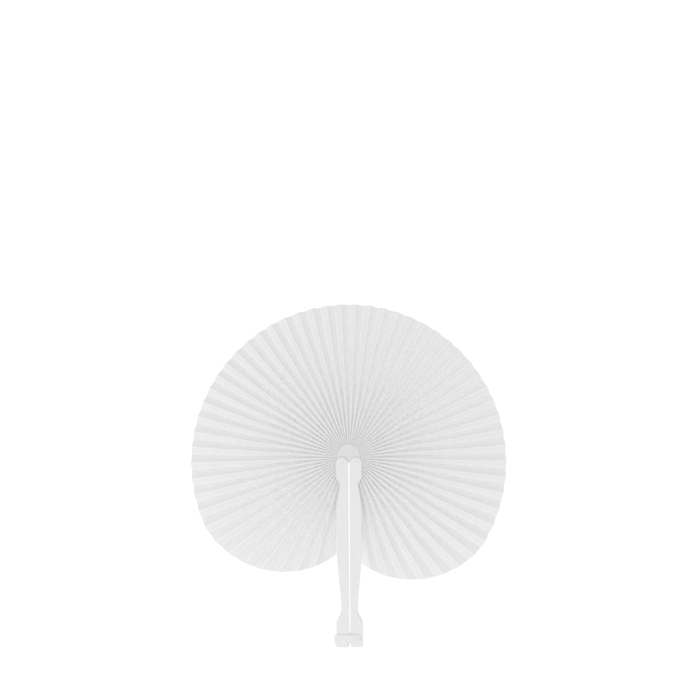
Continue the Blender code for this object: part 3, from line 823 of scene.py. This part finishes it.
rightArm = makeArm("right", 1)
bossEnds = (arm["flange"] / 2, caseDepth - arm["flange"] / 2)
boolean(rightArm, cylinder(latchPlace, latchHole + latch["bossWall"], *bossEnds), "UNION")
holeFloor = caseDepth - latch["pinDepth"] - latch["clearance"]
boolean(rightArm, cylinder(latchPlace, latchHole, holeFloor, wellAbove))
spacerMiddle = latch["drop"] - latch["spacerRise"]
spacer = blockShape(
    1,
    latch["clearance"] - arm["slitHalf"],
    arm["slitHalf"] + arm["web"],
    spacerMiddle - latch["spacerLength"] / 2,
    spacerMiddle + latch["spacerLength"] / 2,
    caseDepth - latch["spacerSink"] - latch["spacerDepth"],
    caseDepth - latch["spacerSink"],
)
boolean(rightArm, spacer, "UNION")
for word, piece in (("left", leftArm), ("right", rightArm)):
    smoothPiece(piece)
    finishPiece(piece, f"{word}_arm", f"{word}_arm")


print("hub and pins")

hub = {
    "domeRise": 3.1 * mm,
    "domeRadius": 8.95 * mm,
    "lobeRadius": 4.4 * mm,
    "notch": 13,  # degrees that the lobes run on past their widest point, into the notch
    "plate": 0.9 * mm,
    "backSeat": 1.5 * mm,
    "edgeRadius": 0.25 * mm,
    "pinRadius": 0.75 * mm,
    "headRadius": 1.25 * mm,
    "headSeat": 0.06 * mm,  # above the arm's face
    "headHeight": 0.36 * mm,
    "headBevel": 0.05 * mm,
    "headLip": 0.03 * mm,
    "headDome": 0.94,  # the share of the head's height that is domed
    "tailSeat": 0.05 * mm,
    "tailRadius": 1.45 * mm,
    "tailHeight": 0.35 * mm,
    "tailBevel": 0.1 * mm,
}


def hubOutline():
    # A round top over a lobe round each pin, with a notch between the lobes.
    meet = math.degrees(math.acos((hub["domeRadius"] - arm["pinX"]) / hub["lobeRadius"]))
    points = arcPoints((0, hub["domeRise"]), hub["domeRadius"], 180, 0, 64)
    right = arcPoints((arm["pinX"], -arm["pinDrop"]), hub["lobeRadius"], meet, -180 - hub["notch"], 44)
    left = [(-x, y) for x, y in right[::-1]]
    return [(x, hubCentre.y + y) for x, y in points + right + left]


plates = {"front": caseDepth - hub["backSeat"] - hub["plate"], "back": hub["backSeat"]}
for word, low in plates.items():
    shape = roundedShape(hubOutline(), low, low + hub["plate"], hub["edgeRadius"], 4)
    plate = newPiece(word + "HubPlate", shape, hubPlastic)
    for side in sides.values():
        boolean(plate, cylinder(hingePlace(side), arm["pinHole"], wellBelow, wellAbove))
    smoothPiece(plate)
    finishPiece(plate, f"hub_{word}_plate", "hub")

for word, side in sides.items():
    low, head = hub["tailSeat"], caseDepth + hub["headSeat"]
    tail, bevel = low + hub["tailHeight"], hub["tailBevel"]
    profile = [(0, low), (hub["tailRadius"] - bevel, low), (hub["tailRadius"], low + bevel)]
    profile += [(hub["tailRadius"], tail), (hub["pinRadius"], tail), (hub["pinRadius"], head)]
    profile += [(hub["headRadius"] - hub["headBevel"], head)]
    domeSteps = 8
    for step in range(domeSteps):
        angle = math.radians(90 * step / domeSteps)
        reach, rise = hub["headRadius"] * math.cos(angle), hub["headHeight"] * math.sin(angle)
        profile.append((reach, head + hub["headLip"] + rise * hub["headDome"]))
    profile.append((0, head + hub["headHeight"]))
    piece = newPiece(word + "HingePin", turnedShape(hingePlace(side), profile), pinPlastic)
    smoothPiece(piece, 40)
    finishPiece(piece, f"{word}_hinge_pin", "hub")


print("latch")

tipX = latch["x"] - latch["hookReach"] - latch["hookThickness"]
tipCorner = latch["tipCorner"]
outline = arcPoints(latchPlace, latch["half"], 90, -90, 40)
lowerCorner = (tipX + tipCorner, latchPlace[1] - latch["half"] + tipCorner)
outline += arcPoints(lowerCorner, tipCorner, -90, -180, 10)
upperCorner = (tipX + tipCorner, latchPlace[1] + latch["half"] - tipCorner)
outline += arcPoints(upperCorner, tipCorner, 180, 90, 10)
latchTop = latch["seat"] + latch["thickness"]
belly = latch["seat"] - latch["underside"]
bar = newPiece("latchBar", roundedShape(outline, belly, latchTop, latch["edgeRadius"]), armPlastic)

hookInside = tipX + latch["hookThickness"]
hookHalf = latch["half"] - tipCorner
hookEnds = (latchPlace[1] - hookHalf, latchPlace[1] + hookHalf)
hookOutline = [(tipX, hookEnds[0]), (hookInside, hookEnds[0])]
hookOutline += [(hookInside, hookEnds[1]), (tipX, hookEnds[1])]
hookLow = latch["seat"] - latch["hookDrop"]
hookLayers = [(hookLow + height, inset) for height, inset in latch["hookToe"]]
hookLayers.append((latch["seat"] + latch["thickness"] / 2, 0))
boolean(bar, layeredShape(hookOutline, hookLayers), "UNION")

underHead = latchTop - latch["headHeight"]
sinkRadius = latch["headRadius"] + latch["headRoom"]
boolean(bar, cylinder(latchPlace, latchHole, wellBelow, wellAbove))
boolean(bar, cylinder(latchPlace, sinkRadius, underHead - latch["play"], wellAbove))
smoothPiece(bar)
finishPiece(bar, "latch", "latch")

pinLow, bevel = caseDepth - latch["pinDepth"], latch["pinBevel"]
profile = [(0, pinLow), (latch["pinRadius"] - bevel, pinLow), (latch["pinRadius"], pinLow + bevel)]
profile += [(latch["pinRadius"], underHead), (latch["headRadius"], underHead)]
profile += [(latch["headRadius"] - inset, latchTop - drop) for inset, drop in latch["headEdge"]]
profile.append((0, latchTop))
piece = newPiece("latchPin", turnedShape(latchPlace, profile), armPlastic)
smoothPiece(piece, 40)
finishPiece(piece, "latch_pin", "right_arm")


print("studio")

studio = {
    "cameraPlace": (0.00092, 0.00048, 1.26),
    "aim": (0.00147, 0.0995, 0.006),
    "lens": 80.353,
    "sensor": 36.0,  # mm
    "ambient": 0.69,
    "keyPlace": (-0.30, -0.38, 0.95),
    "keySize": 0.6,
    "keyPower": 2.1,
    "floorSize": 6.0,
    "floorDrop": 0.1 * mm,
    "floorGlow": 0.975,
    "floorColour": "#f0f0f0",
    "shadowColour": "#505050",  # of the part of the floor that still takes a shadow
}
plainWhite = hexColour("#ffffff")


def lookedAt(tree):
    # 1 where a ray comes from the camera, from a reflection or through the paper, and 0 elsewhere.
    path = addNode(tree, "ShaderNodeLightPath").outputs
    seen = addMath(tree, "ADD", path["Is Camera Ray"], path["Is Glossy Ray"])
    return addMath(tree, "ADD", seen, path["Is Transmission Ray"], clamp=True)


def studioFloor():
    # Where it is looked at, the floor is white paper that keeps a faint shadow.
    material, tree = newMaterial("whiteBackgroundPaper")
    diffuse = addNode(tree, "ShaderNodeBsdfDiffuse", {"Color": hexColour(studio["floorColour"])})
    shaded = addNode(tree, "ShaderNodeBsdfDiffuse", {"Color": hexColour(studio["shadowColour"])})
    glow = addNode(tree, "ShaderNodeEmission", {"Color": plainWhite, "Strength": studio["floorGlow"]})
    white = addNode(tree, "ShaderNodeAddShader", {0: shaded.outputs[0], 1: glow.outputs[0]})
    surface = mixShaders(tree, lookedAt(tree), diffuse.outputs[0], white.outputs[0])
    addNode(tree, "ShaderNodeOutputMaterial", {"Surface": surface})
    material.cycles.emission_sampling = "NONE"  # the glow is looked at, and isn't a lamp
    return material


floorShape = bmesh.new()
bmesh.ops.create_grid(floorShape, x_segments=1, y_segments=1, size=studio["floorSize"])
bmesh.ops.translate(floorShape, verts=floorShape.verts, vec=(0, 0, -studio["floorDrop"]))
floor = newPiece("floor", floorShape, studioFloor())
floor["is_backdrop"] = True

scene = bpy.context.scene
world = bpy.data.worlds.new("studioWorld")
scene.world = world
world.use_nodes = True
world.cycles.sampling_method = "NONE"  # an even sky needs no lamp samples, and the key gets them all
tree = world.node_tree
tree.nodes.clear()
soft = addNode(tree, "ShaderNodeBackground", {"Color": plainWhite, "Strength": studio["ambient"]})
bright = addNode(tree, "ShaderNodeBackground", {"Color": plainWhite, "Strength": 1.0})
sky = mixShaders(tree, lookedAt(tree), soft.outputs[0], bright.outputs[0])
addNode(tree, "ShaderNodeOutputWorld", {"Surface": sky})

keyLight = bpy.data.lights.new("softKey", "AREA")
keyLight.shape = "SQUARE"
keyLight.size = studio["keySize"]
keyLight.energy = studio["keyPower"]
key = bpy.data.objects.new("softKey", keyLight)
scene.collection.objects.link(key)
key.location = studio["keyPlace"]
key.rotation_euler = (hubCentre - key.location).to_track_quat("-Z", "Y").to_euler()
key.visible_camera = False

camera = bpy.data.objects.new("camera", bpy.data.cameras.new("camera"))
scene.collection.objects.link(camera)
camera.data.lens = studio["lens"]
camera.data.sensor_width = studio["sensor"]
camera.location = studio["cameraPlace"]
camera.rotation_euler = (Vector(studio["aim"]) - camera.location).to_track_quat("-Z", "Y").to_euler()
scene.camera = camera
scene.view_settings.view_transform = "Standard"

low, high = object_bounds()
